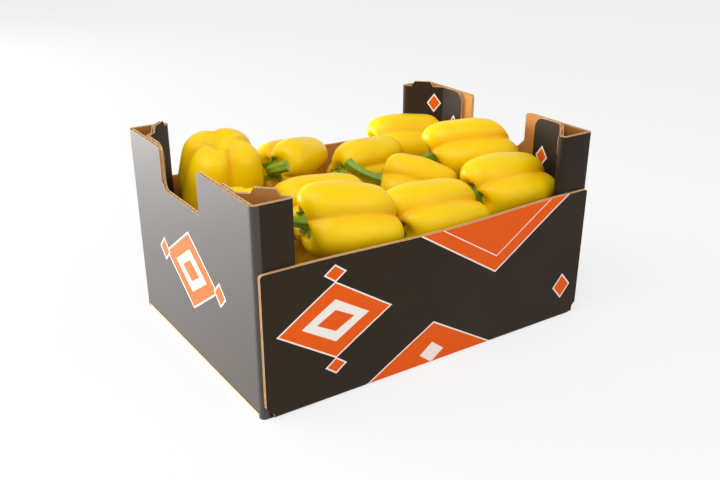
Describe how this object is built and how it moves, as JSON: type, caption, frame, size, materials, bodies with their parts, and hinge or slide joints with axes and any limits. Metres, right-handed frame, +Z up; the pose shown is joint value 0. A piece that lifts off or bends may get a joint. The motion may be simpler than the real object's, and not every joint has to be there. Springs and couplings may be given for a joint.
{
  "type": "packed pepper carton",
  "caption": "Open corrugated-board produce tray with triangular corner columns and hand notches, filled with yellow bell peppers lying on standing ones.",
  "frame": {"origin": "centre of the carton's underside", "axes": "+X along the long side, +Z up, the front side panel faces -Y"},
  "size_m": [0.4, 0.304, 0.216],
  "materials": {
    "board": "satin varnish over dark ink outside, bare brown board inside",
    "pepper_skin": "waxy gloss",
    "pepper_stalk": "satin"
  },
  "bodies": {
    "root": {"pepper_01": "pepper_skin", "pepper_02": "pepper_skin", "pepper_03": "pepper_skin", "pepper_04": "pepper_skin", "pepper_05": "pepper_skin", "pepper_06": "pepper_skin", "pepper_07": "pepper_skin", "pepper_08": "pepper_skin", "pepper_09": "pepper_skin", "pepper_10": "pepper_skin", "pepper_11": "pepper_skin", "pepper_12": "pepper_skin", "pepper_13": "pepper_skin", "pepper_14": "pepper_skin", "pepper_15": "pepper_skin", "pepper_16": "pepper_skin", "pepper_17": "pepper_skin", "pepper_18": "pepper_skin", "pepper_19": "pepper_skin", "pepper_20": "pepper_skin", "pepper_21": "pepper_skin", "pepper_22": "pepper_skin", "pepper_23": "pepper_skin", "stalk_01": "pepper_stalk", "stalk_02": "pepper_stalk", "stalk_03": "pepper_stalk", "stalk_04": "pepper_stalk", "stalk_05": "pepper_stalk", "stalk_06": "pepper_stalk", "stalk_07": "pepper_stalk", "stalk_08": "pepper_stalk", "stalk_09": "pepper_stalk", "stalk_10": "pepper_stalk", "stalk_11": "pepper_stalk", "stalk_12": "pepper_stalk", "stalk_13": "pepper_stalk", "stalk_14": "pepper_stalk", "stalk_15": "pepper_stalk", "stalk_16": "pepper_stalk", "stalk_17": "pepper_stalk", "stalk_18": "pepper_stalk", "stalk_19": "pepper_stalk", "stalk_20": "pepper_stalk", "stalk_21": "pepper_stalk", "stalk_22": "pepper_stalk", "stalk_23": "pepper_stalk", "tray": "board"}
  },
  "joints": []
}
